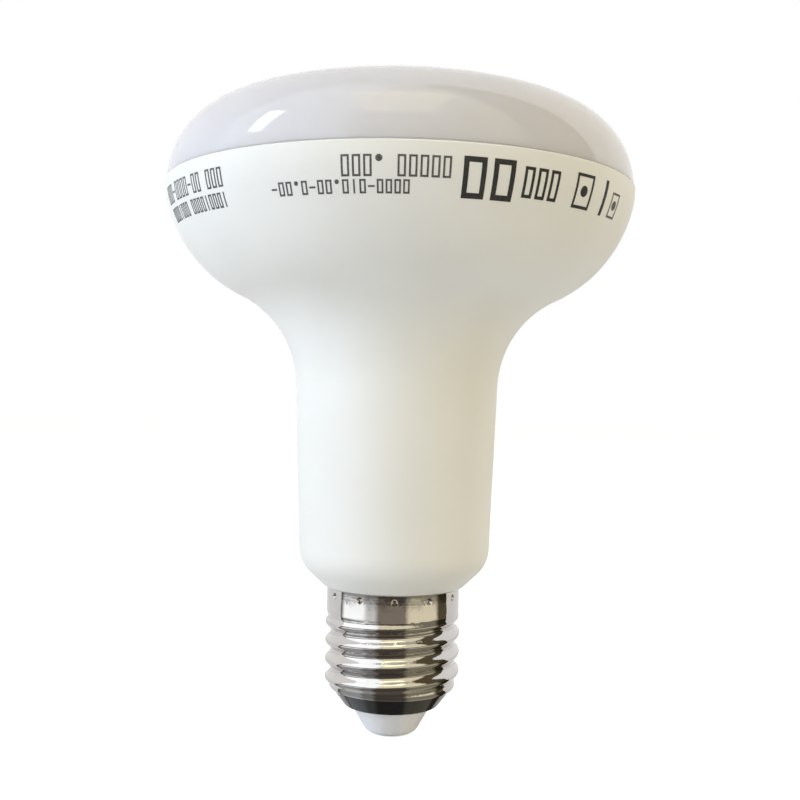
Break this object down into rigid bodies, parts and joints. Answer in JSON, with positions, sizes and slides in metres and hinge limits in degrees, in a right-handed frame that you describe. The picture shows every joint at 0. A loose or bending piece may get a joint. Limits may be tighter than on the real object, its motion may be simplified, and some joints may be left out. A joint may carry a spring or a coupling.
{
  "type": "reflector bulb",
  "caption": "LED reflector lamp with a round domed diffuser, a flared white body with a straight neck, and a screw cap.",
  "frame": {"origin": "centre of the flat end of the centre contact", "axes": "+Z along the lamp's axis from the cap to the dome; X and Y across it"},
  "size_m": [0.09, 0.09, 0.1258],
  "materials": {
    "diffuser": "milky translucent polycarbonate, glossy",
    "white_body": "white moulded plastic, satin",
    "cap_metal": "bright nickel plate",
    "cap_glass": "black glass, glossy",
    "contact_metal": "satin nickel plate",
    "liner_metal": "spun aluminium",
    "board_white": "white solder mask",
    "chip_yellow": "phosphor gel in a white package",
    "screw_steel": "zinc plate",
    "sleeve_white": "moulded plastic",
    "board_green": "green solder mask",
    "can_black": "shrink sleeve",
    "film_red": "dipped film",
    "copper_winding": "enamelled copper",
    "ferrite": "ferrite",
    "bobbin_black": "moulded plastic",
    "winding_tape": "polyester tape",
    "chip_black": "epoxy",
    "resistor_blue": "lacquer",
    "lead_black": "insulated wire",
    "lead_red": "insulated wire"
  },
  "bodies": {
    "root": {"diffuser_dome": "diffuser", "housing_body": "white_body", "cap_shell": "cap_metal", "cap_insulator": "cap_glass", "centre_contact": "contact_metal", "heat_sink_liner": "liner_metal", "led_plate": "liner_metal", "led_board": "board_white", "led_chips": "chip_yellow", "led_board_screws": "screw_steel", "driver_sleeve": "sleeve_white", "sleeve_lid": "sleeve_white", "driver_board": "board_green", "bulk_capacitor": "can_black", "output_capacitor": "can_black", "film_capacitor": "film_red", "choke_coil": "copper_winding", "transformer_core": "ferrite", "transformer_bobbin": "bobbin_black", "transformer_winding": "winding_tape", "bridge_rectifier": "chip_black", "driver_chip": "chip_black", "output_diode": "chip_black", "board_resistors": "chip_black", "fusible_resistor": "resistor_blue", "live_lead": "lead_black", "neutral_lead": "lead_black", "led_lead_positive": "lead_red", "led_lead_negative": "lead_black"}
  },
  "joints": []
}
